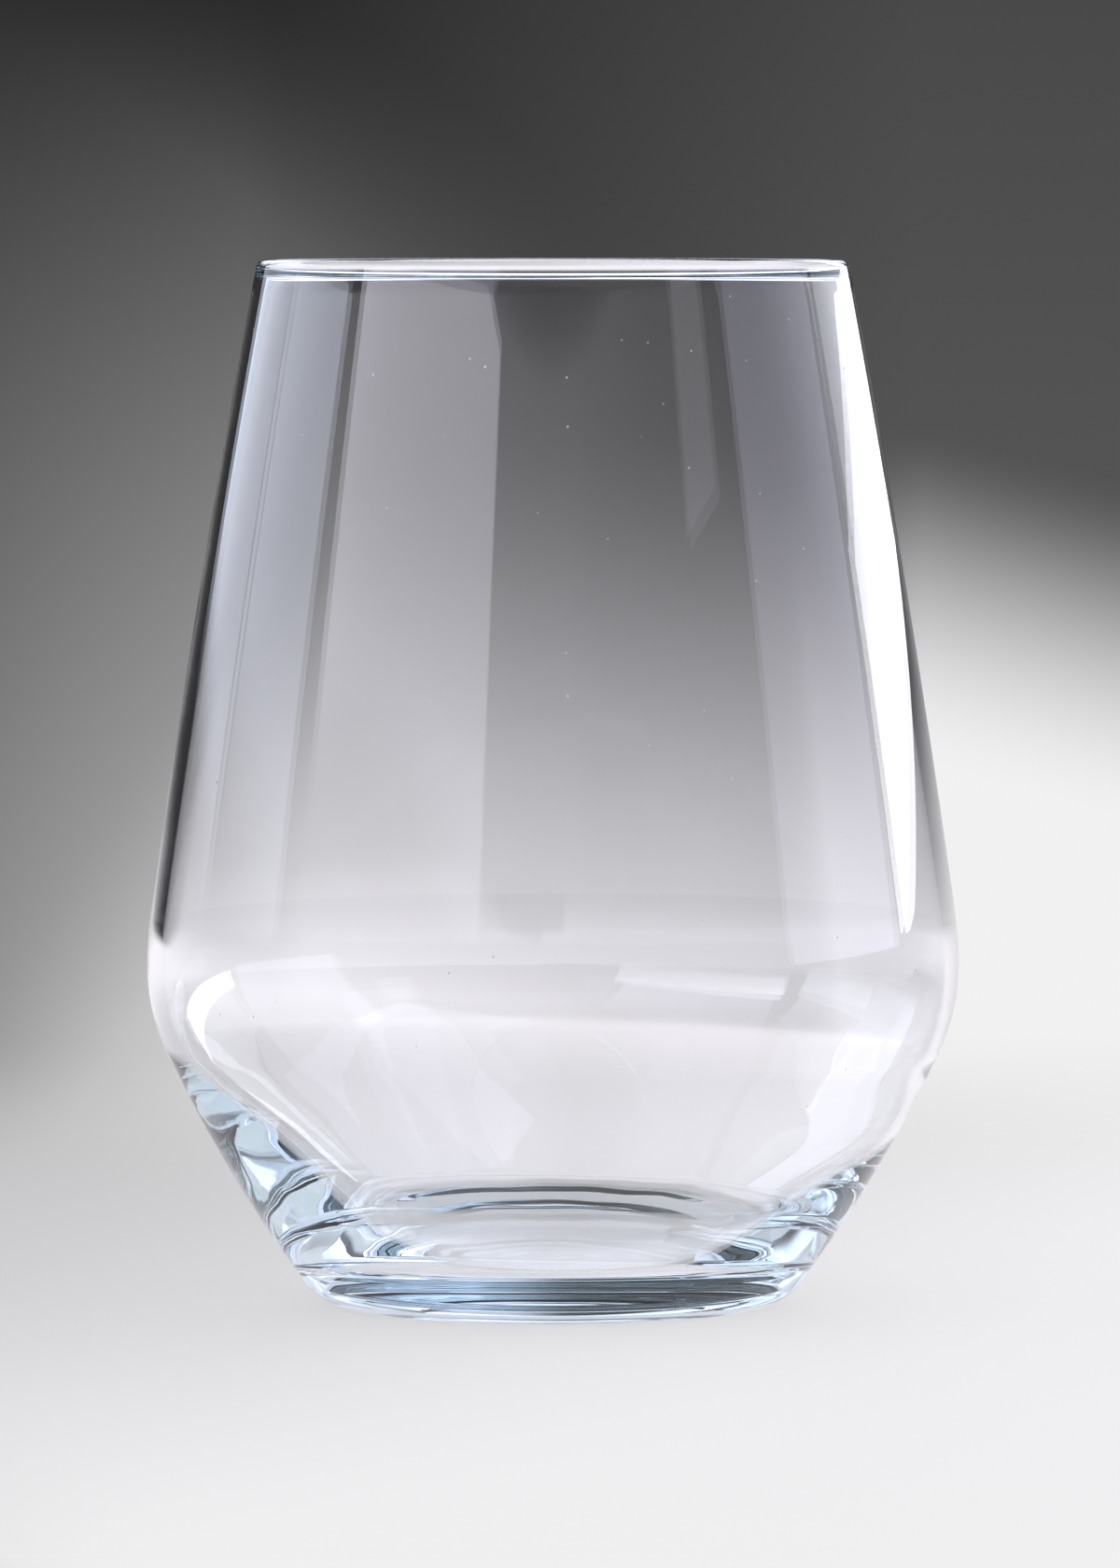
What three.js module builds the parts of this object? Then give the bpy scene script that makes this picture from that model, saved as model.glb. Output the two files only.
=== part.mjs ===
// A clear glass tumbler: a small foot, a cone that opens to a low, wide shoulder, and a tall wall that
// narrows to a fire-polished rim. It is blown as one piece, so the model is one solid of revolution about +Z.
// Millimetres. The origin is on the table, under the centre of the foot.
import * as THREE from 'three';

// Driving dimensions: the outside
const HEIGHT = 112;
const RIM_DIAMETER = 63.5;
const SHOULDER_DIAMETER = 87;
const SHOULDER_HEIGHT = 36.5;
const FOOT_DIAMETER = 43.4;

// Driving dimensions: how full the outside curves are
const WALL_BOW_RADIUS = 1450;
const SHOULDER_TOP_RADIUS = 37;
const SHOULDER_UNDER_RADIUS = 21.6;
const CONE_BOW_RADIUS = 145;
const HEEL_RADIUS = 6.2;

// Driving dimensions: the glass itself. The flame draws the rim up into a bead wider than the wall.
const RIM_BEAD_RADIUS = 0.95;
const RIM_FILLET = 0.35;
const RIM_WALL = 1.4;
const SHOULDER_WALL = 1.5;
const BASE_THICKNESS = 6.5;

// Driving dimensions: the hollow's flat floor and how full its curves are
const FLOOR_DIAMETER = 45.2;
const FLOOR_FILLET = 3;
const HOLLOW_CONE_BOW_RADIUS = 70;
const HOLLOW_SHOULDER_UNDER_RADIUS = 21;

// Driving dimensions: the underside
const BEARING_WIDTH = 2.4;
const PUSH_UP_HEIGHT = 1.4;

// How finely the curves are cut into flats
const TURN_STEPS = 64;
const STEP_ANGLE = THREE.MathUtils.degToRad(10);
const FEWEST_STEPS = 4;

const QUARTER_TURN = Math.PI / 2;
const FULL_TURN = 2 * Math.PI;

// A profile point: r is the distance from the axis, z the height above the table
const at = (r, z) => new THREE.Vector2(r, z);

// The bearing of point b seen from point a
const bearing = (a, b) => Math.atan2(b.y - a.y, b.x - a.x);

// Where two circles cross, on the left of the line from the first centre to the second
function crossing(centreA, radiusA, centreB, radiusB) {
  const apart = centreA.distanceTo(centreB);
  const along = (apart ** 2 + radiusA ** 2 - radiusB ** 2) / (2 * apart);
  const aside = Math.sqrt(radiusA ** 2 - along ** 2);
  const ahead = centreB.clone().sub(centreA).divideScalar(apart);
  const left = at(-ahead.y, ahead.x);
  return centreA.clone().addScaledVector(ahead, along).addScaledVector(left, aside);
}

// The points of one arc, both ends included
function arc(centre, radius, from, to) {
  const steps = Math.max(FEWEST_STEPS, Math.ceil(Math.abs(to - from) / STEP_ANGLE));
  return Array.from({ length: steps + 1 }, (_, i) => {
    const angle = THREE.MathUtils.lerp(from, to, i / steps);
    return at(centre.x + radius * Math.cos(angle), centre.y + radius * Math.sin(angle));
  });
}

// The cone's arc, which touches the heel's and the shoulder's arcs from outside
function coneArc(heel, under, radius) {
  const centre = crossing(heel.centre, radius - heel.radius, under.centre, radius - under.radius);
  return { centre, radius };
}

// The arc above the shoulder, and the wall's long arc, which touches it and a circle at the rim
function upperArcs(shoulderRadius, topRadius, wallRadius, rim, rimRadius) {
  const top = { centre: at(shoulderRadius - topRadius, SHOULDER_HEIGHT), radius: topRadius };
  const wallCentre = crossing(top.centre, wallRadius - topRadius, rim, wallRadius - rimRadius);
  return { top, wall: { centre: wallCentre, radius: wallRadius } };
}

// One side of the glass from the foot or floor up to the rim: five arcs, each tangent to the next
function side({ heel, cone, under, top, wall, rim }) {
  const footAngle = bearing(cone.centre, heel.centre);
  const underAngle = bearing(cone.centre, under.centre);
  const topAngle = bearing(wall.centre, top.centre);
  const rimAngle = bearing(wall.centre, rim);
  return [
    ...arc(heel.centre, heel.radius, -QUARTER_TURN, footAngle),
    ...arc(cone.centre, cone.radius, footAngle, underAngle).slice(1),
    ...arc(under.centre, under.radius, underAngle, 0).slice(1),
    ...arc(top.centre, top.radius, 0, topAngle).slice(1),
    ...arc(wall.centre, wall.radius, topAngle, rimAngle).slice(1),
  ];
}

// Outside of the glass, up to the bead at the rim
const bead = at(RIM_DIAMETER / 2 - RIM_BEAD_RADIUS, HEIGHT - RIM_BEAD_RADIUS);
const shoulderRadius = SHOULDER_DIAMETER / 2;
const heel = { centre: at(FOOT_DIAMETER / 2, HEEL_RADIUS), radius: HEEL_RADIUS };
const under = {
  centre: at(shoulderRadius - SHOULDER_UNDER_RADIUS, SHOULDER_HEIGHT),
  radius: SHOULDER_UNDER_RADIUS,
};
const cone = coneArc(heel, under, CONE_BOW_RADIUS);
const upperOutside = upperArcs(shoulderRadius, SHOULDER_TOP_RADIUS, WALL_BOW_RADIUS, bead, RIM_BEAD_RADIUS);
const outside = side({ heel, cone, under, ...upperOutside, rim: bead });

// Inside of the glass, up to the small fillet under the bead. The wall thickens from the shoulder to the floor.
const innerRim = at(RIM_DIAMETER / 2 - RIM_WALL, bead.y);
const innerShoulderRadius = shoulderRadius - SHOULDER_WALL;
const floorFillet = { centre: at(FLOOR_DIAMETER / 2, BASE_THICKNESS + FLOOR_FILLET), radius: FLOOR_FILLET };
const innerUnder = {
  centre: at(innerShoulderRadius - HOLLOW_SHOULDER_UNDER_RADIUS, SHOULDER_HEIGHT),
  radius: HOLLOW_SHOULDER_UNDER_RADIUS,
};
const innerCone = coneArc(floorFillet, innerUnder, HOLLOW_CONE_BOW_RADIUS);
const upperInside = upperArcs(
  innerShoulderRadius, SHOULDER_TOP_RADIUS - SHOULDER_WALL, WALL_BOW_RADIUS - RIM_WALL, innerRim, 0,
);
const innerWall = upperInside.wall;
const rimFillet = crossing(bead, RIM_BEAD_RADIUS + RIM_FILLET, innerWall.centre, innerWall.radius - RIM_FILLET);
const inside = side({ heel: floorFillet, cone: innerCone, under: innerUnder, ...upperInside, rim: rimFillet });

// The rim's rounding: the bead, cut at its crest so that the glass has its full height, and the fillet under it
function rimRounding() {
  const outerEnd = bearing(upperOutside.wall.centre, bead);
  const innerEnd = bearing(bead, rimFillet) + FULL_TURN;
  return [
    ...arc(bead, RIM_BEAD_RADIUS, outerEnd, QUARTER_TURN).slice(1),
    ...arc(bead, RIM_BEAD_RADIUS, QUARTER_TURN, innerEnd).slice(1),
    ...arc(rimFillet, RIM_FILLET, bearing(rimFillet, bead), bearing(innerWall.centre, rimFillet)).slice(1, -1),
  ];
}

// The underside: a flat bearing ring, and a shallow dome pushed up inside it
function underside() {
  const bearingRadius = FOOT_DIAMETER / 2 - BEARING_WIDTH;
  const domeRadius = (bearingRadius ** 2 + PUSH_UP_HEIGHT ** 2) / (2 * PUSH_UP_HEIGHT);
  const centre = at(0, PUSH_UP_HEIGHT - domeRadius);
  return arc(centre, domeRadius, QUARTER_TURN, bearing(centre, at(bearingRadius, 0)));
}

function glassBody() {
  const profile = [...underside(), ...outside, ...rimRounding(), ...inside.reverse(), at(0, BASE_THICKNESS)];
  const geometry = new THREE.LatheGeometry(profile, TURN_STEPS);
  geometry.rotateX(QUARTER_TURN);
  const clearGlass = new THREE.MeshStandardMaterial({
    color: 0xe6eef0, roughness: 0.03, metalness: 0, transparent: true, opacity: 0.35,
  });
  const mesh = new THREE.Mesh(geometry, clearGlass);
  mesh.name = 'glass_body';
  return mesh;
}

const tumbler = new THREE.Group();
tumbler.add(glassBody());

export default tumbler;
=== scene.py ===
# %% [markdown]
# # A stemless tumbler in clear glass
# The object is one piece of blown glass: a small heavy foot, a cone that opens to a low wide
# shoulder, and a tall wall that narrows to a fire-polished rim. Clear glass has no colour of its
# own to paint, so this lesson is about three things that make it look real: an exact profile, the
# small unevenness that blowing leaves, and the lights, boards and pale table that it bends.

# %% Load the frame
import math
from collections import namedtuple

import bpy
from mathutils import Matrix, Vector


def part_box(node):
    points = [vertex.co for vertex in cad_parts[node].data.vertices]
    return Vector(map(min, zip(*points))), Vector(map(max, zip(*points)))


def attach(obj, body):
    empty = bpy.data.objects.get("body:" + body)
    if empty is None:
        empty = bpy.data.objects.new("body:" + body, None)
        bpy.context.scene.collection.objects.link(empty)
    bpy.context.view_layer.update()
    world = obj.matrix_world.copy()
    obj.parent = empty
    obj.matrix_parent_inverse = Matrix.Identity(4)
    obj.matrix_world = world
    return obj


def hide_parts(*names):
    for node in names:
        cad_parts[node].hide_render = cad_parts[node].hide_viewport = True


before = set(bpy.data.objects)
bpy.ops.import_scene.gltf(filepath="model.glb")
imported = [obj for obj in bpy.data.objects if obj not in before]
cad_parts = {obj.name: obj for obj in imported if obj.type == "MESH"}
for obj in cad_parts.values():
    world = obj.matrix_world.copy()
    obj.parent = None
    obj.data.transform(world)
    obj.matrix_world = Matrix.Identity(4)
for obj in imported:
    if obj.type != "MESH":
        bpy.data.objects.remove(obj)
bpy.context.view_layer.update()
low_corner, high_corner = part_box("glass_body")
MM = 0.001

# %% [markdown]
# ## Arcs that touch
# A blown glass is round, so one line says it all: the cut from the middle of the underside, round
# the foot, up the outside, over the rim and down the inside to the middle of the floor. It could
# be drawn by eye as a Bezier curve, but glass shows every kink as a bent reflection. So each
# stretch is an arc that touches the next one, as on a mould drawing, and these helpers find the
# arcs' centres. A point of the profile is its distance from the axis and its height.

# %% Helpers for arcs
QUARTER = math.pi / 2
FULL_TURN = 2 * math.pi
Circle = namedtuple("Circle", "centre radius")


def bearing(a, b):
    """The direction of point b from point a, in the plane of the profile."""
    return math.atan2(b[1] - a[1], b[0] - a[0])


def crossing(centre_a, radius_a, centre_b, radius_b):
    """Where two circles cross, on the left of the line between their centres."""
    a, b = Vector(centre_a), Vector(centre_b)
    apart = (b - a).length
    along = (apart ** 2 + radius_a ** 2 - radius_b ** 2) / (2 * apart)
    aside = math.sqrt(radius_a ** 2 - along ** 2)
    ahead = (b - a) / apart
    return a + ahead * along + Vector((-ahead.y, ahead.x)) * aside


def arc(circle, start, end, steps):
    """Points along an arc of a circle, both ends included."""
    (x, y), radius = circle
    angles = [start + (end - start) * i / steps for i in range(steps + 1)]
    return [Vector((x + radius * math.cos(t), y + radius * math.sin(t))) for t in angles]


quarter_arc = arc(Circle((0.0, 0.0), 1.0), 0.0, QUARTER, steps=3)
print("heights along a quarter circle:", [round(p.y, 2) for p in quarter_arc])

# %% Helpers for one side of the glass
SHOULDER_HEIGHT = 36.5 * MM


def side(heel, cone, under, top, wall, rim, steps):
    """One side of the glass, from the foot or the floor to the rim: an arc on each circle in turn."""
    heel_end = bearing(cone.centre, heel.centre)
    cone_end = bearing(cone.centre, under.centre)
    top_end = bearing(wall.centre, top.centre)
    turns = [
        (heel, -QUARTER, heel_end),
        (cone, heel_end, cone_end),
        (under, cone_end, 0.0),
        (top, 0.0, top_end),
        (wall, top_end, bearing(wall.centre, rim)),
    ]
    points = []
    for (circle, start, end), count in zip(turns, steps):
        points += arc(circle, start, end, count)[1 if points else 0:]
    return points


def cone_circle(heel, under, bow):
    """The cone's circle, which touches the heel's and the one under the shoulder."""
    return Circle(crossing(heel.centre, bow - heel.radius, under.centre, bow - under.radius), bow)


def upper_circles(shoulder, top_bow, wall_bow, rim, rim_bow):
    """The circle over the shoulder, and the wall's large one, which touches it and one at the rim."""
    top = Circle((shoulder - top_bow, SHOULDER_HEIGHT), top_bow)
    wall = Circle(crossing(top.centre, wall_bow - top_bow, rim, wall_bow - rim_bow), wall_bow)
    return top, wall


print("the glass is widest at mm:", round(SHOULDER_HEIGHT / MM, 2))

# %% [markdown]
# ## The outside
# The mould gives the outside its shape: a tight heel, a nearly straight cone, a rounded shoulder and
# a wall that only just bows. A few loops under a Subdivision Surface would come near it, but the
# arcs give each radius as it is on the mould. Height and width come from the frame, so the visual
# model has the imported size.

# %% Lay out the outside
HEIGHT = high_corner[2] - low_corner[2]
SHOULDER_RADIUS = (high_corner[0] - low_corner[0]) / 2
RIM_RADIUS = 31.75 * MM
FOOT_RADIUS = 21.7 * MM
WALL_BOW = 1450 * MM
SHOULDER_TOP_BOW = 37 * MM
SHOULDER_UNDER_BOW = 21.6 * MM
CONE_BOW = 145 * MM
HEEL_BOW = 6.2 * MM
RIM_BEAD = 0.95 * MM
OUTSIDE_STEPS = (20, 30, 16, 6, 40)
bead = Vector((RIM_RADIUS - RIM_BEAD, HEIGHT - RIM_BEAD))
heel = Circle((FOOT_RADIUS, HEEL_BOW), HEEL_BOW)
under = Circle((SHOULDER_RADIUS - SHOULDER_UNDER_BOW, SHOULDER_HEIGHT), SHOULDER_UNDER_BOW)
cone = cone_circle(heel, under, CONE_BOW)
top, wall = upper_circles(SHOULDER_RADIUS, SHOULDER_TOP_BOW, WALL_BOW, bead, RIM_BEAD)
outside = side(heel, cone, under, top, wall, bead, OUTSIDE_STEPS)
print("outside rows:", len(outside), "height mm:", round(HEIGHT / MM, 2))

# %% [markdown]
# ## The hollow
# Air makes the inside, so it follows the outside more loosely: the wall is 1.4 to 1.5 mm above the
# shoulder and thickens below it into a heavy base with a flat floor. A Solidify modifier would give
# one even thickness and no such base, so the hollow has its own five arcs. They were set so that the
# floor's ellipse and the dark edge of the wall look as wide as on the real glass.

# %% Lay out the hollow
RIM_FILLET = 0.35 * MM
RIM_WALL = 1.4 * MM
SHOULDER_WALL = 1.5 * MM
BASE_THICKNESS = 6.5 * MM
FLOOR_RADIUS_INNER = 22.6 * MM
FLOOR_FILLET = 3.0 * MM
INNER_CONE_BOW = 70 * MM
INNER_UNDER_BOW = 21 * MM
INSIDE_STEPS = (16, 40, 16, 6, 40)
inner_shoulder = SHOULDER_RADIUS - SHOULDER_WALL
inner_rim = Vector((RIM_RADIUS - RIM_WALL, bead.y))
fillet = Circle((FLOOR_RADIUS_INNER, BASE_THICKNESS + FLOOR_FILLET), FLOOR_FILLET)
inner_under = Circle((inner_shoulder - INNER_UNDER_BOW, SHOULDER_HEIGHT), INNER_UNDER_BOW)
inner_cone = cone_circle(fillet, inner_under, INNER_CONE_BOW)
inner_top, inner_wall = upper_circles(
    inner_shoulder, SHOULDER_TOP_BOW - SHOULDER_WALL, WALL_BOW - RIM_WALL, inner_rim, 0.0)
inside_reach = inner_wall.radius - RIM_FILLET
rim_fillet = crossing(bead, RIM_BEAD + RIM_FILLET, inner_wall.centre, inside_reach)
inside = side(fillet, inner_cone, inner_under, inner_top, inner_wall, rim_fillet, INSIDE_STEPS)
print("inside rows:", len(inside), "flat floor radius mm:", round(inside[0].x / MM, 2))

# %% [markdown]
# ## Underside and rim
# The foot stands on a flat ring, inside which the glass is pushed up in a shallow dome so that it
# can't rock. At the other end a flame rounds the cut rim, and surface tension draws it into a bead
# that is a little thicker than the wall. A Bevel modifier can't make a bead that stands proud, so it
# is an arc too, with a small fillet below it: a sharp groove there would show as a line round the
# mouth.

# %% Lay out the underside
BEARING_WIDTH = 2.4 * MM
PUSH_UP_HEIGHT = 1.4 * MM
DOME_STEPS = 14
RING_STEPS = 6
bearing_inner = FOOT_RADIUS - BEARING_WIDTH
dome_bow = (bearing_inner ** 2 + PUSH_UP_HEIGHT ** 2) / (2 * PUSH_UP_HEIGHT)
dome = Circle((0.0, PUSH_UP_HEIGHT - dome_bow), dome_bow)
dome_edge = bearing(dome.centre, (bearing_inner, 0.0))
underside = arc(dome, QUARTER, dome_edge, DOME_STEPS)
ring = [Vector((bearing_inner + BEARING_WIDTH * i / RING_STEPS, 0.0)) for i in range(1, RING_STEPS)]
print("dome radius mm:", round(dome_bow / MM, 1), "ring inside mm:", round(bearing_inner / MM, 2))

# %% Round the rim
RIM_STEPS = 28
RIM_FILLET_STEPS = 8
bead_start = bearing(wall.centre, bead)
bead_end = bearing(bead, rim_fillet) + FULL_TURN
rounding = arc(Circle(bead, RIM_BEAD), bead_start, bead_end, RIM_STEPS)[1:]
fillet_start = bearing(rim_fillet, bead)
fillet_end = bearing(inner_wall.centre, rim_fillet)
rim_circle = Circle(rim_fillet, RIM_FILLET)
rounding += arc(rim_circle, fillet_start, fillet_end, RIM_FILLET_STEPS)[1:-1]
print("rim rows:", len(rounding), "top mm:", round(max(p.y for p in rounding) / MM, 2))

# %% Join the profile
FLOOR_STEPS = 12
floor_edge = inside[0].x
floor_radii = [floor_edge * (1 - i / FLOOR_STEPS) for i in range(1, FLOOR_STEPS + 1)]
floor = [Vector((radius, BASE_THICKNESS)) for radius in floor_radii]
outer_line = underside + ring + outside
inner_line = inside[::-1] + floor
profile = outer_line + rounding + inner_line
inside_share = [0.0] * (len(outer_line) + len(rounding)) + [1.0] * len(inner_line)
print("profile rows:", len(profile))

# %% [markdown]
# ## Formulas as nodes
# The lathe, the glass, the table and the light all need arithmetic inside node trees. Each Math node
# could be placed and linked by hand, but that hides the formula. This small class writes the nodes
# of a formula instead and returns the socket that holds its value. It serves geometry and shader
# trees alike.

# %% Arithmetic in nodes
class NodeMaths:
    """Builds arithmetic nodes in a node tree."""

    def __init__(self, tree):
        self.nodes = tree.nodes
        self.links = tree.links

    def put(self, socket, value):
        """Sets a socket to a plain number, or links it to another socket."""
        if isinstance(value, (int, float)):
            socket.default_value = value
        else:
            self.links.new(value, socket)

    def do(self, operation, *values):
        """One step of arithmetic."""
        node = self.nodes.new("ShaderNodeMath")
        node.operation = operation
        for socket, value in zip(node.inputs, values):
            self.put(socket, value)
        return node.outputs[0]

    def ramp(self, value, from_min, from_max, to_min, to_max, smooth=True):
        """The value carried from one range to another and held at the ends."""
        node = self.nodes.new("ShaderNodeMapRange")
        node.interpolation_type = "SMOOTHSTEP" if smooth else "LINEAR"
        names = ("Value", "From Min", "From Max", "To Min", "To Max")
        for name, given in zip(names, (value, from_min, from_max, to_min, to_max)):
            self.put(node.inputs[name], given)
        return node.outputs["Result"]

    def mix(self, share, none, whole):
        """Goes straight from one value to another as the share goes from 0 to 1."""
        return self.ramp(share, 0.0, 1.0, none, whole, smooth=False)

    def split(self, vector):
        """The three parts of a vector."""
        node = self.nodes.new("ShaderNodeSeparateXYZ")
        self.links.new(vector, node.inputs[0])
        return [node.outputs[name] for name in "XYZ"]

    def join(self, x, y, z):
        """A vector of three parts."""
        node = self.nodes.new("ShaderNodeCombineXYZ")
        for name, value in zip("XYZ", (x, y, z)):
            self.put(node.inputs[name], value)
        return node.outputs[0]

    def noise(self, place, scale, detail, warp=0.0, seed=0.0):
        """A cloudy pattern from 0 to 1."""
        node = self.nodes.new("ShaderNodeTexNoise")
        if seed:
            node.noise_dimensions = "4D"
            node.inputs["W"].default_value = seed
        self.links.new(place, node.inputs["Vector"])
        node.inputs["Scale"].default_value = scale
        node.inputs["Detail"].default_value = detail
        node.inputs["Distortion"].default_value = warp
        return node.outputs["Fac"]


# %% [markdown]
# ## Turning the profile
# The Spin tool or a Screw modifier could turn the line, but both give an exact solid of revolution,
# and blown glass isn't one. Geometry Nodes can act as the lathe and leave room for that: a grid has
# one row for each profile point and one column for each step of the turn, and each of its points is
# moved to where that row and that turn meet. The inner points carry a mark, so that only the hollow
# is uneven and the outside stays as the mould made it.

# %% Points of the profile
def profile_object():
    """The profile as a line of points in the XZ plane, with a mark on the inner ones."""
    mesh = bpy.data.meshes.new("tumbler_profile")
    edges = [(i, i + 1) for i in range(len(profile) - 1)]
    mesh.from_pydata([(p.x, 0.0, p.y) for p in profile], edges, [])
    mark = mesh.attributes.new("inside", "FLOAT", "POINT")
    mark.data.foreach_set("value", inside_share)
    obj = bpy.data.objects.new("glass_tumbler", mesh)
    bpy.context.collection.objects.link(obj)
    return obj


tumbler = profile_object()
print("profile points:", len(tumbler.data.vertices), "of them inside:", int(sum(inside_share)))

# %% [markdown]
# ## Uneven glass
# The bubble of air never sits quite in the middle. Low down, this hollow is 0.7 mm to the right, the
# wall is thicker at the left and thinner at the right, and the inside of the base ripples by a few
# hundredths of a millimetre. That turns plain bands in the base into swirls. Sculpting could do it,
# but a formula comes out the same each time and has faded to nothing just above the shoulder.

# %% Thick and thin places
SWELL_HEIGHT = 16 * MM
SWELL_REACH = 9.5 * MM
SWELL_SPREAD = math.radians(60)


def swellings(maths, cosine, height, thicker, thinner):
    """How far the wall grows inwards: thicker at the left, thinner at the right, at one height."""
    least = math.cos(SWELL_SPREAD)
    at_left = maths.ramp(maths.do("MULTIPLY", cosine, -1.0), least, 1.0, 0.0, 1.0)
    at_right = maths.ramp(cosine, least, 1.0, 0.0, 1.0)
    added = maths.do("MULTIPLY", at_left, thicker)
    taken = maths.do("MULTIPLY", at_right, thinner)
    away = maths.do("ABSOLUTE", maths.do("SUBTRACT", height, SWELL_HEIGHT))
    near = maths.ramp(away, SWELL_REACH, 0.0, 0.0, 1.0)
    return maths.do("MULTIPLY", maths.do("SUBTRACT", added, taken), near)


swell_ends = (SWELL_HEIGHT - SWELL_REACH, SWELL_HEIGHT + SWELL_REACH)
print("thick and thin places, from and to mm:", [round(end / MM, 1) for end in swell_ends])

# %% Ripples
RIPPLE_TOP = 34 * MM
RIPPLE_SCALE = 160.0
RIPPLE_SQUEEZE = 2.0
RIPPLE_DETAIL = 1.0
RIPPLE_SEED = 4.0
NOISE_MIDDLE = 0.5


def ripples(maths, across, along, height, depth):
    """A slow wave in the inner surface that fades out above the base."""
    place = maths.join(across, along, maths.do("MULTIPLY", height, RIPPLE_SQUEEZE))
    wave = maths.noise(place, RIPPLE_SCALE, RIPPLE_DETAIL, seed=RIPPLE_SEED)
    wave = maths.do("MULTIPLY", maths.do("SUBTRACT", wave, NOISE_MIDDLE), depth)
    return maths.do("MULTIPLY", wave, maths.ramp(height, RIPPLE_TOP, 0.0, 0.0, 1.0))


print("a ripple is about mm:", round(1 / RIPPLE_SCALE / MM, 1))

# %% [markdown]
# ## The lathe
# The tree's inputs are the sizes that a glassblower would name. A point reads its own row of the
# profile with Sample Index, then takes its place on the turn. The first and last columns fall
# together, and so do the rows at the axis. Left open, they would be a slit that the light sees, so
# Merge by Distance closes the seam and the two poles.

# %% Inputs of the lathe
LATHE_SIZES = {
    "Segments": "Int", "Hollow shift": "Float", "Shift top": "Float", "Swell depth": "Float",
    "Hollow depth": "Float", "Ripple depth": "Float", "Material": "Material",
}


def lathe_sockets(tree):
    """Gives the tree its inputs and output, and returns each size's identifier by its name."""
    face = tree.interface
    face.new_socket("Geometry", in_out="INPUT", socket_type="NodeSocketGeometry")
    named = {}
    for name, kind in LATHE_SIZES.items():
        socket = face.new_socket(name, in_out="INPUT", socket_type="NodeSocket" + kind)
        named[name] = socket.identifier
    face.new_socket("Geometry", in_out="OUTPUT", socket_type="NodeSocketGeometry")
    return named


print("inputs of the lathe:", ", ".join(LATHE_SIZES))

# %% Grid and profile rows
GRID_SIDE = 1.0
GRID_MIDDLE = 0.5


def lathe_grid(maths, line, segments):
    """A flat grid with a row for each profile point, and the angle and row of each of its points."""
    size = maths.nodes.new("GeometryNodeAttributeDomainSize")
    size.component = "MESH"
    maths.links.new(line, size.inputs["Geometry"])
    rows = size.outputs["Point Count"]
    grid = maths.nodes.new("GeometryNodeMeshGrid")
    grid.inputs["Size X"].default_value = GRID_SIDE
    grid.inputs["Size Y"].default_value = GRID_SIDE
    maths.put(grid.inputs["Vertices X"], maths.do("ADD", segments, 1))
    maths.put(grid.inputs["Vertices Y"], rows)
    across, along, _ = maths.split(maths.nodes.new("GeometryNodeInputPosition").outputs[0])
    angle = maths.do("MULTIPLY", maths.do("ADD", across, GRID_MIDDLE), FULL_TURN)
    last_row = maths.do("SUBTRACT", rows, 1)
    row = maths.nodes.new("FunctionNodeFloatToInt")
    row.rounding_mode = "ROUND"
    maths.put(row.inputs[0], maths.do("MULTIPLY", maths.do("ADD", along, GRID_MIDDLE), last_row))
    return grid.outputs["Mesh"], angle, row.outputs[0]


def sampled(maths, line, value, row, data_type):
    """Reads a value of the profile at a row."""
    node = maths.nodes.new("GeometryNodeSampleIndex")
    node.data_type = data_type
    node.domain = "POINT"
    maths.links.new(line, node.inputs["Geometry"])
    maths.links.new(value, node.inputs["Value"])
    maths.links.new(row, node.inputs["Index"])
    return node.outputs["Value"]


# %% Place of each point
def turned_place(maths, line, angle, row, sizes):
    """Where a point of the grid goes: its profile point, made uneven, at its angle."""
    position = maths.nodes.new("GeometryNodeInputPosition").outputs[0]
    radius, _, height = maths.split(sampled(maths, line, position, row, "FLOAT_VECTOR"))
    mark = maths.nodes.new("GeometryNodeInputNamedAttribute")
    mark.data_type = "FLOAT"
    mark.inputs["Name"].default_value = "inside"
    inner = sampled(maths, line, mark.outputs[0], row, "FLOAT")
    cosine = maths.do("COSINE", angle)
    sine = maths.do("SINE", angle)
    across = maths.do("MULTIPLY", radius, cosine)
    along = maths.do("MULTIPLY", radius, sine)
    grown = swellings(maths, cosine, height, sizes["Swell depth"], sizes["Hollow depth"])
    waved = ripples(maths, across, along, height, sizes["Ripple depth"])
    inward = maths.do("MULTIPLY", maths.do("ADD", grown, waved), inner)
    radius = maths.do("SUBTRACT", radius, inward)
    low_share = maths.ramp(height, 0.0, sizes["Shift top"], 1.0, 0.0)
    moved = maths.do("MULTIPLY", maths.do("MULTIPLY", low_share, inner), sizes["Hollow shift"])
    across = maths.do("ADD", maths.do("MULTIPLY", radius, cosine), moved)
    return maths.join(across, maths.do("MULTIPLY", radius, sine), height)


# %% Build the turning tree
WELD_DISTANCE = 0.002 * MM


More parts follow.
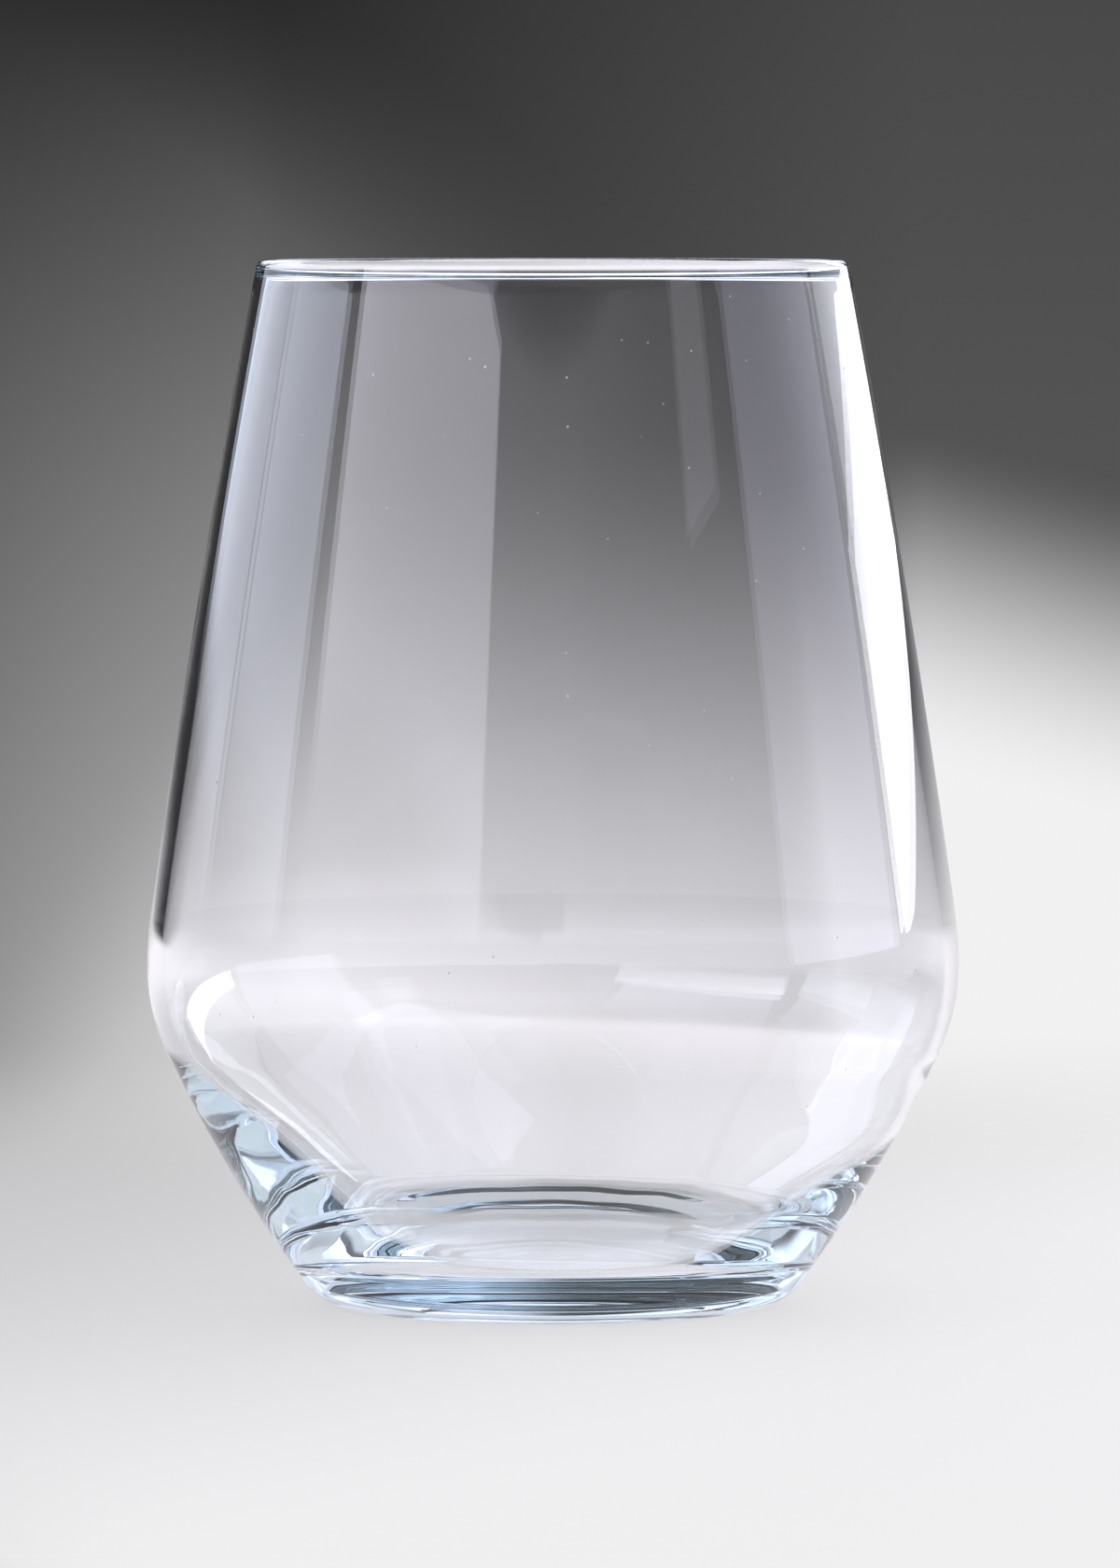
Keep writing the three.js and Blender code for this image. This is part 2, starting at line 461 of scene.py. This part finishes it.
def turning_tree():
    """The lathe as a Geometry Nodes tree, and the identifiers of its inputs."""
    tree = bpy.data.node_groups.new("turn_profile", "GeometryNodeTree")
    named = lathe_sockets(tree)
    maths = NodeMaths(tree)
    sizes = maths.nodes.new("NodeGroupInput").outputs
    line = sizes["Geometry"]
    shape, angle, row = lathe_grid(maths, line, sizes["Segments"])
    placed = maths.nodes.new("GeometryNodeSetPosition")
    maths.put(placed.inputs["Position"], turned_place(maths, line, angle, row, sizes))
    weld = maths.nodes.new("GeometryNodeMergeByDistance")
    weld.inputs["Distance"].default_value = WELD_DISTANCE
    smooth = maths.nodes.new("GeometryNodeSetShadeSmooth")
    real = maths.nodes.new("GeometryNodeRealizeInstances")
    finish = maths.nodes.new("GeometryNodeSetMaterial")
    maths.put(finish.inputs["Material"], sizes["Material"])
    for node in (placed, weld, smooth, real, finish):
        maths.links.new(shape, node.inputs["Geometry"])
        shape = node.outputs[0]
    maths.links.new(shape, maths.nodes.new("NodeGroupOutput").inputs["Geometry"])
    return tree, named


tree, sockets = turning_tree()
print("lathe nodes:", len(tree.nodes))

# %% [markdown]
# ## Smears, dust and waviness
# A flawless surface looks like a computer's glass. A real one has been wiped and has stood about: it
# has faint smears that blur a reflection here and there, dust specks, and a waviness of a few
# thousandths of a millimetre from the mould. An image of fingerprints could be laid on it, but
# textures on Object coordinates need no unwrapping and have the right size from the start. Smears
# and specks are roughness, and the waviness is a bump.

# %% Smears
SMEAR_SCALE = 55.0
SMEAR_DETAIL = 4.0
SMEAR_WARP = 1.2
SMEAR_SPAN = (0.60, 0.85)
SMEAR_ROUGHNESS = 0.10


def smears(maths, place):
    """Roughness in a few wide, twisted patches."""
    clouds = maths.noise(place, SMEAR_SCALE, SMEAR_DETAIL, warp=SMEAR_WARP)
    return maths.ramp(clouds, *SMEAR_SPAN, 0.0, SMEAR_ROUGHNESS)


print("a smear is about mm:", round(1 / SMEAR_SCALE / MM, 1))

# %% Dust
SPECK_SCALE = 650.0
SPECK_FEW = 0.93
SPECK_WIDTH = 0.085
SPECK_ROUGHNESS = 0.7


def dust(maths, place):
    """Rough specks in a few of the cells of a Voronoi texture, each with its own width."""
    cells = maths.nodes.new("ShaderNodeTexVoronoi")
    maths.links.new(place, cells.inputs["Vector"])
    cells.inputs["Scale"].default_value = SPECK_SCALE
    chosen = maths.nodes.new("ShaderNodeSeparateColor")
    maths.links.new(cells.outputs["Color"], chosen.inputs[0])
    width = maths.ramp(chosen.outputs["Red"], SPECK_FEW, 1.0, 0.0, SPECK_WIDTH, smooth=False)
    inside_speck = maths.do("LESS_THAN", cells.outputs["Distance"], width)
    return maths.do("MULTIPLY", inside_speck, SPECK_ROUGHNESS)


print("widest speck mm:", round(2 * SPECK_WIDTH / SPECK_SCALE / MM, 2))

# %% Waviness
WAVE_SCALE = 85.0
WAVE_DETAIL = 1.0
WAVE_DEPTH = 0.006 * MM


def wavy_normal(maths, place):
    """A very shallow bump, as a mould leaves it."""
    waves = maths.nodes.new("ShaderNodeBump")
    maths.put(waves.inputs["Height"], maths.noise(place, WAVE_SCALE, WAVE_DETAIL))
    waves.inputs["Distance"].default_value = WAVE_DEPTH
    return waves.outputs["Normal"]


print("a wave is about mm:", round(1 / WAVE_SCALE / MM, 1))

# %% [markdown]
# ## Clear glass
# Soda-lime glass bends light by about 1.52. It isn't quite colourless: a little iron makes it
# blue-green where light travels a long way in it, along the wall to an edge and through the base. A
# tinted surface would colour the thin wall as much as the thick base, so the tint is a volume
# absorption and the surface stays white.

# %% Glass material
GLASS_IOR = 1.52
GLASS_TINT = (0.0, 0.45, 0.6, 1.0)
GLASS_DENSITY = 5.0
WHITE = (1.0, 1.0, 1.0, 1.0)


def clear_glass():
    """Clear glass with its marks on the surface and its tint in the depth."""
    mat = bpy.data.materials.new("clear_glass")
    mat.use_nodes = True
    maths = NodeMaths(mat.node_tree)
    shader = maths.nodes["Principled BSDF"]
    shader.inputs["Base Color"].default_value = WHITE
    shader.inputs["IOR"].default_value = GLASS_IOR
    shader.inputs["Transmission Weight"].default_value = 1.0
    place = maths.nodes.new("ShaderNodeTexCoord").outputs["Object"]
    marks = maths.do("MAXIMUM", smears(maths, place), dust(maths, place))
    maths.put(shader.inputs["Roughness"], marks)
    maths.put(shader.inputs["Normal"], wavy_normal(maths, place))
    depth = maths.nodes.new("ShaderNodeVolumeAbsorption")
    depth.inputs["Color"].default_value = GLASS_TINT
    depth.inputs["Density"].default_value = GLASS_DENSITY
    maths.put(maths.nodes["Material Output"].inputs["Volume"], depth.outputs[0])
    return mat


glass = clear_glass()
print("glass nodes:", len(glass.node_tree.nodes))

# %% [markdown]
# ## At the lathe
# The modifier's inputs are set by identifier before the object is first evaluated. The modifier could
# stay live, but the export and the checks read meshes, so its result becomes a plain mesh and the
# modifier goes. 320 segments keep the outline and the refractions smooth in fewer than 200,000
# triangles for one piece.

# %% Turn the glass
lathe_values = {
    "Segments": 320,
    "Hollow shift": 0.7 * MM,
    "Shift top": 40 * MM,
    "Swell depth": 0.5 * MM,
    "Hollow depth": 0.8 * MM,
    "Ripple depth": 0.06 * MM,
    "Material": glass,
}
lathe = tumbler.modifiers.new("turn", "NODES")
lathe.node_group = tree
for name, value in lathe_values.items():
    lathe[sockets[name]] = value
evaluated = tumbler.evaluated_get(bpy.context.evaluated_depsgraph_get())
turned_mesh = bpy.data.meshes.new_from_object(evaluated)
turned_mesh.name = "glass_tumbler"
tumbler.modifiers.remove(lathe)
line_mesh = tumbler.data
tumbler.data = turned_mesh
bpy.data.meshes.remove(line_mesh)
print("turned points:", len(turned_mesh.vertices))

# %% [markdown]
# ## Which way is out
# Glass turned inside out bends light the wrong way, so the faces have to point outwards. Recalculate
# Outside would do it, but the signed volume of the mesh tells as well, and gives the amount of glass:
# it is positive when the faces point outwards.

# %% Point the faces outwards
TETRAHEDRON = 1 / 6
MILLILITRE = 1e-6


def signed_volume(mesh):
    """The sum of the tetrahedra between the origin and each triangle."""
    mesh.calc_loop_triangles()
    total = 0.0
    for tri in mesh.loop_triangles:
        a, b, c = (mesh.vertices[i].co for i in tri.vertices)
        total += a.dot(b.cross(c))
    return total * TETRAHEDRON


volume = signed_volume(turned_mesh)
if volume < 0:
    turned_mesh.flip_normals()
print("glass ml:", round(abs(volume) / MILLILITRE, 2), "triangles:", len(turned_mesh.loop_triangles))

# %% Tie the glass to the frame
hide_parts("glass_body")
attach(tumbler, "root")
print("piece:", tumbler.name)

# %% [markdown]
# ## What the glass stands on
# Most of what a clear glass shows is the table and backdrop behind it, bent. The table is a pale disc,
# darkened at the left by painted shade, that fades into the backdrop and ends in front, where the
# glass would otherwise mirror too much of it. A plane lit by lamps would do, but each lamp would then
# change the table as well. So most of the table's light is its own, and the rest takes the glass's
# shadow.
# Light Path tells the camera's own view from the view in the glass, which is a little brighter and
# faintly lavender.

# %% Tint of what is seen in the glass
THROUGH_GLASS = 1.12
THROUGH_TINT = (1.01, 0.985, 1.035, 1.0)
MIX_COLOUR = 2


def colour_mix(maths, share, first, second):
    """A mix of two colours, of which the first may be a socket."""
    node = maths.nodes.new("ShaderNodeMix")
    node.data_type = "RGBA"
    by_key = {socket.identifier: socket for socket in node.inputs}
    maths.put(by_key["Factor_Float"], share)
    if isinstance(first, tuple):
        by_key["A_Color"].default_value = first
    else:
        maths.put(by_key["A_Color"], first)
    by_key["B_Color"].default_value = second
    return node.outputs[MIX_COLOUR]


def through_tint(maths, seen):
    """White where the camera sees a surface itself, and faint lavender where the glass shows it."""
    return colour_mix(maths, seen, THROUGH_TINT, WHITE)


print("seen in the glass, times:", [round(THROUGH_GLASS * part, 2) for part in THROUGH_TINT[:3]])

# %% Level and end of the table
FLOOR_RADIUS = 0.40
FLOOR_FADE_START = 0.10
FLOOR_PALE = 0.905
# Painted shade: towards the left, the table's level falls to this share of its pale level.
PAINTED_FLOOR_SHADE_SHARE = 0.66
PAINTED_FLOOR_SHADE_LEVEL = FLOOR_PALE * PAINTED_FLOOR_SHADE_SHARE
PAINTED_FLOOR_SHADE_SPAN = (-0.13, 0.06)
PAINTED_FLOOR_SHADE_SLANT = -0.35
FLOOR_FRONT = (-0.205, -0.240)


def table_level_with_painted_shade(maths, x, y):
    """The table's level, with painted shade that dims it towards the left along a slanted line."""
    across = maths.do("MULTIPLY_ADD", y, PAINTED_FLOOR_SHADE_SLANT, x)
    return maths.ramp(across, *PAINTED_FLOOR_SHADE_SPAN, PAINTED_FLOOR_SHADE_LEVEL, FLOOR_PALE)


def table_gone(maths, place, y):
    """How far the table has faded out, by the distance from the glass and towards the camera."""
    length = maths.nodes.new("ShaderNodeVectorMath")
    length.operation = "LENGTH"
    maths.links.new(place, length.inputs[0])
    far = maths.ramp(length.outputs["Value"], FLOOR_FADE_START, FLOOR_RADIUS, 0.0, 1.0)
    return maths.do("MAXIMUM", far, maths.ramp(y, *FLOOR_FRONT, 0.0, 1.0))


print("table level, left and right:", round(PAINTED_FLOOR_SHADE_LEVEL, 3), FLOOR_PALE)

# %% Table material
FLOOR_ROUGHNESS = 0.6
FLOOR_GLOSS = 0.2
FLOOR_SHADE = 0.35


def shader_mix(maths, share, first, second):
    """A mix of two shaders."""
    node = maths.nodes.new("ShaderNodeMixShader")
    maths.put(node.inputs["Fac"], share)
    maths.links.new(first, node.inputs[1])
    maths.links.new(second, node.inputs[2])
    return node.outputs[0]


def table_material():
    """A pale table that shines by itself, has painted shade towards the left, takes some of the
    glass's shadow and fades out.
    """
    mat = bpy.data.materials.new("pale_table")
    mat.use_nodes = True
    maths = NodeMaths(mat.node_tree)
    place = maths.nodes.new("ShaderNodeTexCoord").outputs["Object"]
    x, y, _ = maths.split(place)
    # This level carries the painted shade at the left, into both the matt colour and the table's own
    # light.
    level = table_level_with_painted_shade(maths, x, y)
    matt = maths.nodes["Principled BSDF"]
    matt.inputs["Roughness"].default_value = FLOOR_ROUGHNESS
    matt.inputs["Specular IOR Level"].default_value = FLOOR_GLOSS
    maths.put(matt.inputs["Base Color"], level)
    seen = maths.nodes.new("ShaderNodeLightPath").outputs["Is Camera Ray"]
    lit = maths.nodes.new("ShaderNodeEmission")
    maths.put(lit.inputs["Color"], through_tint(maths, seen))
    own_light = maths.do("MULTIPLY", level, maths.mix(seen, THROUGH_GLASS, 1.0))
    maths.put(lit.inputs["Strength"], own_light)
    surface = shader_mix(maths, FLOOR_SHADE, lit.outputs[0], matt.outputs[0])
    clear = maths.nodes.new("ShaderNodeBsdfTransparent").outputs[0]
    faded = shader_mix(maths, table_gone(maths, place, y), surface, clear)
    maths.put(maths.nodes["Material Output"].inputs["Surface"], faded)
    return mat


pale_table = table_material()
print("table nodes:", len(pale_table.node_tree.nodes))

# %% Lay the table
TABLE_SIDES = 96
TABLE_DROP = 0.05 * MM
table_angles = [FULL_TURN * i / TABLE_SIDES for i in range(TABLE_SIDES)]
table_edge = [(FLOOR_RADIUS * math.cos(t), FLOOR_RADIUS * math.sin(t), 0.0) for t in table_angles]
table_mesh = bpy.data.meshes.new("table_top")
table_mesh.from_pydata(table_edge, [], [list(range(TABLE_SIDES))])
table_mesh.materials.append(pale_table)
table = bpy.data.objects.new("table_top", table_mesh)
bpy.context.collection.objects.link(table)
table.location.z = -TABLE_DROP
print("table across in m:", 2 * FLOOR_RADIUS)

# %% [markdown]
# ## The studio round it
# The backdrop is dark above and pale below, with a soft edge between that dips at the left and rises
# at the right, and a pool of light on its dark part. In front stands a pale card, which the near wall
# mirrors, and at the back left a dark board, which draws the dark line down the left edge of the
# glass: with a pale studio all round, clear glass nearly vanishes.
#
# A set of planes could stand for all this, but the world can hold it as one formula of the direction.
# There x is to the right, y to the back and z up, so z is the sine of the height above the horizon.
# The places below are such sines, and a level of 1 is white.

# %% Edge of the backdrop
EDGE_HEIGHT = -0.0643
EDGE_LEFT_FROM = -0.018
EDGE_LEFT_LEAN = 1.6
EDGE_RIGHT_RISE = 0.0242
EDGE_RIGHT_LEAN = -0.36
EDGE_STEP = (0.016, 0.034)


def backdrop_edge(maths, aside, step):
    """The height of the edge between the backdrop's dark and pale parts."""
    past_left = maths.do("MINIMUM", maths.do("SUBTRACT", aside, EDGE_LEFT_FROM), 0.0)
    past_right = maths.do("MAXIMUM", maths.do("SUBTRACT", aside, EDGE_STEP[1]), 0.0)
    raised = maths.do("MULTIPLY_ADD", step, EDGE_RIGHT_RISE, EDGE_HEIGHT)
    leaning = maths.do("MULTIPLY_ADD", past_left, EDGE_LEFT_LEAN, raised)
    return maths.do("MULTIPLY_ADD", past_right, EDGE_RIGHT_LEAN, leaning)


print("edge at the middle, degrees:", round(math.degrees(math.asin(EDGE_HEIGHT)), 2))

# %% Pool of light on the dark part
GLOW_TOP = 0.0215
GLOW_EVEN = 0.53
GLOW_SLOPE = 1.9
GLOW_CURVE = 17.0
GLOW_PLACE = -0.028
GLOW_PEAK = 1.28
GLOW_RISE = 25.0
GLOW_FALL = -38.0
GLOW_LEAST = 0.1
GLOW_LINE_HEIGHT = 0.0029
GLOW_LINE_LEAN = -0.765
GLOW_LINE_SOFT = 0.024
GLOW_LIMIT = 0.40


def glow_level(maths, aside, z):
    """Light that grows downwards from its top, most of it in a pool under a slanted line."""
    depth = maths.do("MAXIMUM", maths.do("SUBTRACT", GLOW_TOP, z), 0.0)
    off_peak = maths.do("SUBTRACT", aside, GLOW_PLACE)
    rise = maths.do("MULTIPLY_ADD", off_peak, GLOW_RISE, GLOW_PEAK)
    fall = maths.do("MULTIPLY_ADD", off_peak, GLOW_FALL, GLOW_PEAK)
    spread = maths.do("MAXIMUM", maths.do("MINIMUM", rise, fall), GLOW_LEAST)
    line = maths.do("MULTIPLY_ADD", aside, GLOW_LINE_LEAN, GLOW_LINE_HEIGHT)
    below_line = maths.do("SUBTRACT", line, z)
    cut = maths.ramp(below_line, 0.0, GLOW_LINE_SOFT, 0.0, 1.0, smooth=False)
    steeper = maths.do("MULTIPLY_ADD", depth, GLOW_CURVE, GLOW_SLOPE)
    pool = maths.do("MULTIPLY", maths.do("MULTIPLY", spread, cut), steeper)
    glow = maths.do("MULTIPLY", depth, maths.do("ADD", pool, GLOW_EVEN))
    return maths.do("MINIMUM", glow, GLOW_LIMIT)


print("top of the glow, degrees:", round(math.degrees(math.asin(GLOW_TOP)), 2))

# %% Level of the dark part
DARK_LEFT = 0.022
DARK_RIGHT = 0.065
DARK_SPAN = (-0.025, 0.033)


def dark_level(maths, aside, z):
    """The dark part of the backdrop: a little paler at the right, with the glow on it."""
    even = maths.ramp(aside, *DARK_SPAN, DARK_LEFT, DARK_RIGHT, smooth=False)
    return maths.do("ADD", glow_level(maths, aside, z), even)


print("dark part, left and right:", DARK_LEFT, DARK_RIGHT)

# %% Pale card in front
CARD_RISE = 0.272
CARD_POWER = 0.58
CARD_LEFT = (-0.05, -0.5)
CARD_LEFT_RISE = 0.024
CARD_LOW = (-0.20, -0.27)
CARD_DARK = 0.05
CARD_PALE = 1.1
CARD_SIDE = 0.60
CARD_TURN = (0.30, 0.80)


def card_edge(maths, edge, x, front):
    """The edge of the pale part all round: the backdrop's, rising to the top of the card in front."""
    risen = maths.do("MULTIPLY_ADD", maths.do("POWER", front, CARD_POWER), CARD_RISE, edge)
    return maths.do("ADD", risen, maths.ramp(x, *CARD_LEFT, 0.0, CARD_LEFT_RISE))


def card_level(maths, z, front, facing):
    """The card's level: palest in front, dimmer at the sides and dark near the floor."""
    under = maths.do("MULTIPLY", facing, maths.ramp(z, *CARD_LOW, 0.0, 1.0))
    return maths.mix(under, maths.ramp(front, *CARD_TURN, CARD_SIDE, CARD_PALE), CARD_DARK)


card_top = math.degrees(math.asin(EDGE_HEIGHT + CARD_RISE))
print("top of the card, degrees:", round(card_top, 1))

# %% Dark board at the back left
BOARD_SIDE = (-0.12, -0.26)
BOARD_TURN = (0.07, 0.16)
BOARD_LOW = (-0.040, -0.018)


def dark_board(maths, x, z, front):
    """How much of a direction the board at the back left fills."""
    aside = maths.ramp(x, *BOARD_SIDE, 0.0, 1.0)
    behind = maths.ramp(front, *BOARD_TURN, 1.0, 0.0)
    above = maths.ramp(z, *BOARD_LOW, 0.0, 1.0)
    return maths.do("MULTIPLY", maths.do("MULTIPLY", aside, behind), above)


board_start = math.degrees(math.asin(-BOARD_SIDE[0]))
print("the board starts at degrees to the left:", round(board_start, 1))

# %% Softness of the edge
EDGE_SOFT = 0.085
EDGE_SOFT_RIGHT = 0.034
CARD_SOFT = 0.012
CARD_FACING = 0.3
HALF = 0.5


def pale_share(maths, edge, z, step, front):
    """0 above the edge and 1 below it. The edge is sharper at the right and sharpest on the card."""
    soft = maths.mix(step, EDGE_SOFT, EDGE_SOFT_RIGHT)
    soft = maths.ramp(front, 0.0, CARD_FACING, soft, CARD_SOFT)
    above = maths.do("MULTIPLY", soft, -HALF)
    below = maths.do("MULTIPLY", soft, HALF)
    return maths.ramp(maths.do("SUBTRACT", edge, z), above, below, 0.0, 1.0)


print("softness of backdrop and card, degrees:",
      [round(math.degrees(soft), 1) for soft in (EDGE_SOFT, EDGE_SOFT_RIGHT, CARD_SOFT)])

# %% [markdown]
# ## One world from these parts
# In the glass, sideways directions run together fast, so the backdrop's sideways pattern counts for
# less there than in the camera's own view. Light that the table has scattered could read the pattern
# too, but one even level keeps the table's own shade plain.

# %% Level in each direction
EDGE_REACH = 0.06
EDGE_GLASS_SHARE = 0.38
BACKDROP_PALE = 0.88
BOARD_DROP = 0.07
BOARD_DARK = 0.03


def studio_level(maths, direction, seen):
    """The light from each direction, and how far that direction faces the card in front."""
    x, y, z = direction
    held = maths.do("MAXIMUM", maths.do("MINIMUM", x, EDGE_REACH), -EDGE_REACH)
    aside = maths.do("MULTIPLY", maths.mix(seen, EDGE_GLASS_SHARE, 1.0), held)
    step = maths.ramp(aside, *EDGE_STEP, 0.0, 1.0)
    front = maths.ramp(y, 1.0, -1.0, 0.0, 1.0, smooth=False)
    facing = maths.ramp(front, 0.0, CARD_FACING, 0.0, 1.0)
    board = dark_board(maths, x, z, front)
    edge = card_edge(maths, backdrop_edge(maths, aside, step), x, front)
    edge = maths.do("MULTIPLY_ADD", board, -BOARD_DROP, edge)
    dark = maths.mix(board, dark_level(maths, aside, z), BOARD_DARK)
    backdrop = maths.mix(seen, BACKDROP_PALE * THROUGH_GLASS, BACKDROP_PALE)
    pale = maths.mix(facing, backdrop, card_level(maths, z, front, facing))
    return maths.mix(pale_share(maths, edge, z, step, front), dark, pale), facing


# %% Make the world
AMBIENT = 0.92
CARD_TINT = (0.975, 0.96, 1.06, 1.0)


def studio_world():
    """The backdrop, card and board as the light of the world."""
    world = bpy.data.worlds.new("studio")
    world.use_nodes = True
    maths = NodeMaths(world.node_tree)
    direction = maths.split(maths.nodes.new("ShaderNodeTexCoord").outputs["Generated"])
    path = maths.nodes.new("ShaderNodeLightPath")
    seen = path.outputs["Is Camera Ray"]
    level, facing = studio_level(maths, direction, seen)
    scattered = maths.do("MINIMUM", path.outputs["Diffuse Depth"], 1.0)
    on_card = maths.do("MULTIPLY", facing, maths.do("SUBTRACT", 1.0, scattered))
    back = maths.nodes["Background"]
    maths.put(back.inputs["Strength"], maths.mix(scattered, level, AMBIENT))
    tint = colour_mix(maths, on_card, through_tint(maths, seen), CARD_TINT)
    maths.put(back.inputs["Color"], tint)
    return world


scene = bpy.context.scene
scene.world = studio_world()
print("world nodes:", len(scene.world.node_tree.nodes))

# %% [markdown]
# ## Soft lights
# On glass a lamp isn't seen by what it lights but by its own shape, mirrored in the wall. So each
# softbox is given as the angles that it fills as seen from the glass, and its level as the brightness
# of its face. Azimuth 0 is the camera's side and positive is to its right. A softbox's face is never
# even, so it can fade towards an edge. Emitting planes would do as well, but area lamps are sampled
# better, and they can be kept off the table, whose level is its own.

# %% A lamp that shows only in the glass
def soft_light(name, size, radiance, colour):
    """A rectangular lamp, with the two directions on its face along which it can fade."""
    lamp = bpy.data.lights.new(name, "AREA")
    lamp.shape = "RECTANGLE"
    lamp.size, lamp.size_y = size
    lamp.energy = radiance * math.pi * lamp.size * lamp.size_y
    lamp.color = colour
    lamp.use_nodes = True
    obj = bpy.data.objects.new(name, lamp)
    bpy.context.collection.objects.link(obj)
    obj.visible_camera = False
    obj.visible_diffuse = False
    maths = NodeMaths(lamp.node_tree)
    across, up, _ = maths.split(maths.nodes.new("ShaderNodeNewGeometry").outputs["Parametric"])
    print(name, "m:", round(lamp.size, 2), "x", round(lamp.size_y, 2))
    return obj, maths, across, up


# %% A softbox that faces the glass
LAMP_TARGET = Vector((0.0, 0.0, 0.06))
LAMP_DISTANCE = 1.0


def softbox(name, azimuths, elevations, radiance, colour, low=1.0, high=1.0, right=1.0, soft=0.0):
    """A lamp that fills the given angles, in degrees, as seen from the glass.

    Low, high and right are the shares of its light that are left at those edges. Over the soft share
    of its height, from below, the light comes up from nothing."""
    turn = math.radians(sum(azimuths) / 2)
    lift = math.radians(sum(elevations) / 2)
    half_wide = math.radians(azimuths[1] - azimuths[0]) / 2
    half_tall = math.radians(elevations[1] - elevations[0]) / 2
    wide = 2 * LAMP_DISTANCE * math.cos(lift) * math.tan(half_wide)
    tall = 2 * LAMP_DISTANCE * math.tan(half_tall)
    obj, maths, across, up = soft_light(name, (wide, tall), radiance, colour)
    strength = maths.do("MULTIPLY", maths.mix(up, low, high), maths.mix(across, 1.0, right))
    if soft > 0.0:
        strength = maths.do("MULTIPLY", strength, maths.ramp(up, 0.0, soft, 0.0, 1.0))
    maths.put(maths.nodes["Emission"].inputs["Strength"], strength)
    level = math.cos(lift)
    away = Vector((math.sin(turn) * level, -math.cos(turn) * level, math.sin(lift)))
    obj.location = LAMP_TARGET + LAMP_DISTANCE * away
    obj.rotation_euler = (-away).to_track_quat("-Z", "Y").to_euler()


# %% [markdown]
# ## Lights at the left
# A large softbox in front makes the wide pale veil on the left half, with a sharp edge near the
# middle. A second one behind it makes the bluer veil nearer the edge, and the narrow gap between them
# is the darker stripe. One tall box could do for each, but its upper part would be too bright in the
# base, so the upper parts are boxes of their own, and dimmer.

# %% Left lights
softbox("front_left", azimuths=(-78.5, -20.5), elevations=(9.5, 24), radiance=3.9,
        colour=(0.967, 0.95, 1.083), low=0.35, right=0.55, soft=0.32)
softbox("front_left_high", azimuths=(-79, -20.5), elevations=(24, 44), radiance=1.1,
        colour=(0.90, 0.88, 1.22), high=0.2)
softbox("back_left", azimuths=(-118, -85.5), elevations=(3, 18), radiance=2.2,
        colour=(0.90, 0.97, 1.17), low=0.41, soft=0.4)
softbox("back_left_high", azimuths=(-118, -85.5), elevations=(18, 34), radiance=1.2,
        colour=(0.92, 0.97, 1.13), high=0.5)
softbox("back_left_far", azimuths=(-150, -118), elevations=(2, 34), radiance=2.2,
        colour=(0.90, 0.97, 1.17), low=0.35, soft=0.1)

# %% [markdown]
# ## Lights at the right and behind
# A strong low strip at the back right makes the white line inside the right edge, where glass mirrors
# best. A dim box at the side makes the faint veil beside it, and a narrow one the streak near the rim.
# The high ones light the base, which sees far up. They leave the part over the front left dark, so
# that the foot keeps some dark streaks: light from everywhere would wash them out.

# %% Right and back lights
softbox("right", azimuths=(68, 117), elevations=(1, 42), radiance=1.0, colour=(0.92, 0.92, 1.16))
softbox("back_right", azimuths=(118, 160), elevations=(2.3, 9), radiance=3.4,
        colour=(0.97, 0.98, 1.05))
softbox("back_right_high", azimuths=(118, 160), elevations=(9, 25), radiance=1.2,
        colour=(0.94, 0.97, 1.09), high=0.6)
softbox("front_right_high", azimuths=(42, 80), elevations=(23, 76), radiance=1.2,
        colour=(0.92, 0.91, 1.17), low=0.3)
softbox("back_high", azimuths=(162, 208), elevations=(9, 38.5), radiance=1.5,
        colour=(0.93, 0.97, 1.10), low=0.99, soft=0.25)
softbox("streak", azimuths=(46, 59), elevations=(16.4, 30), radiance=0.6, colour=(0.97, 0.97, 1.06))

# %% Panel overhead
PANEL_CENTRE = (0.7, 0.2, 1.2)
PANEL_FADE = 0.2
panel, panel_maths, panel_across, _ = soft_light(
    "overhead", size=(1.6, 2.6), radiance=0.85, colour=(0.93, 0.92, 1.15))
panel.location = PANEL_CENTRE
panel_strength = panel_maths.ramp(panel_across, 0.0, PANEL_FADE, 0.0, 1.0)
panel_maths.put(panel_maths.nodes["Emission"].inputs["Strength"], panel_strength)
print("lamps:", len(bpy.data.lights))

# %% [markdown]
# ## Camera
# The view is that of a long lens from about 1.2 m, a little above the rim and tilted down by 3
# degrees. The rim then shows as a flat ellipse and the floor as a wider one. A camera further off with
# a longer lens would frame the glass as well, but the two ellipses would be alike, so they fix the
# distance. Light in a thick base turns many times before it leaves, so the bounces go up: with too
# few, parts of the base turn black.

# %% Camera and light bounces
PHOTO_WIDTH, PHOTO_HEIGHT = 1200, 1680
AXIS_PIXEL = 592.6
CAMERA_DISTANCE = 1174 * MM
CAMERA_HEIGHT = 118.16 * MM
FOCAL_PIXELS = 11757.0
PITCH = 0.0530
SENSOR_HEIGHT = 36.0
CLIP_END = 100.0
LIGHT_BOUNCES = 32
camera_data = bpy.data.cameras.new("camera")
camera_data.sensor_fit = "VERTICAL"
camera_data.sensor_height = SENSOR_HEIGHT
camera_data.lens = FOCAL_PIXELS / PHOTO_HEIGHT * SENSOR_HEIGHT
camera_data.clip_end = CLIP_END
camera = bpy.data.objects.new("camera", camera_data)
bpy.context.collection.objects.link(camera)
yaw = math.atan((AXIS_PIXEL - PHOTO_WIDTH / 2) / FOCAL_PIXELS)
camera.location = (0.0, -CAMERA_DISTANCE, CAMERA_HEIGHT)
camera.rotation_euler = (QUARTER - PITCH, 0.0, yaw)
scene.camera = camera
scene.view_settings.view_transform = "Standard"
scene.cycles.max_bounces = LIGHT_BOUNCES
scene.cycles.glossy_bounces = LIGHT_BOUNCES
scene.cycles.transmission_bounces = LIGHT_BOUNCES
print("lens mm:", round(camera_data.lens, 1), "tilt degrees:", round(math.degrees(PITCH), 2))
